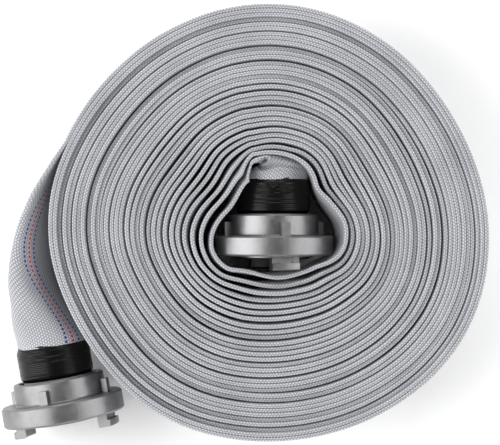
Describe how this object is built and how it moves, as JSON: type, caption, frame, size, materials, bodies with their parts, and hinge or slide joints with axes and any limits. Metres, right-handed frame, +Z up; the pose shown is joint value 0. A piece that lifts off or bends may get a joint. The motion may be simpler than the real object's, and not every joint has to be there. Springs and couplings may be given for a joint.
{
  "type": "rolled fire hose",
  "caption": "Layflat woven fire hose rolled flat on its side, with a quarter-turn lug coupling inside the roll and another on the free end.",
  "frame": {"origin": "on the floor at the centre of the roll", "axes": "+Z up, out of the roll's flat side; -Y is the way the inner coupling's mouth faces; the free end lies at -X"},
  "size_m": [0.3894, 0.3489, 0.098],
  "materials": {
    "woven_jacket": "pale grey woven polyester jacket with woven marker lines",
    "rubber_lining": "smooth black rubber lining",
    "cast_alloy": "cast and machined aluminium alloy, satin",
    "seal_rubber": "moulded black rubber, matt",
    "spring_steel": "bright drawn steel wire",
    "black_sleeve": "glossy black rubber binding sleeve, wrinkled"
  },
  "bodies": {
    "hose": {"hose_inner_turns": "woven_jacket", "hose_outer_turns": "woven_jacket", "hose_inner_fold": "woven_jacket", "inner_hose_tail": "cast_alloy", "inner_seal": "seal_rubber", "inner_snap_ring": "spring_steel", "inner_lining_end": "rubber_lining", "inner_jacket_end": "woven_jacket", "inner_binding_wire": "spring_steel", "inner_sleeve": "black_sleeve"},
    "inner_ring": {"inner_lug_ring": "cast_alloy"},
    "free_end": {"hose_free_end": "woven_jacket", "outer_hose_tail": "cast_alloy", "outer_seal": "seal_rubber", "outer_snap_ring": "spring_steel", "outer_lining_end": "rubber_lining", "outer_jacket_end": "woven_jacket", "outer_binding_wire": "spring_steel", "outer_sleeve": "black_sleeve"},
    "outer_ring": {"outer_lug_ring": "cast_alloy"}
  },
  "joints": [
    {"name": "inner_ring_swivel", "type": "hinge", "parent": "hose", "child": "inner_ring", "pos_m": [0.003, -0.0255, 0.049], "axis": [0, -1, 0], "range_deg": [-2, 28]},
    {"name": "free_end_swing", "type": "hinge", "parent": "hose", "child": "free_end", "pos_m": [-0.16202, 0.06546, 0.0425], "axis": [0, 0, -1], "range_deg": [0, 35]},
    {"name": "outer_ring_swivel", "type": "hinge", "parent": "free_end", "child": "outer_ring", "pos_m": [-0.16593, -0.15701, 0.049], "axis": [0.1702, -0.9854, 0], "continuous": true}
  ]
}
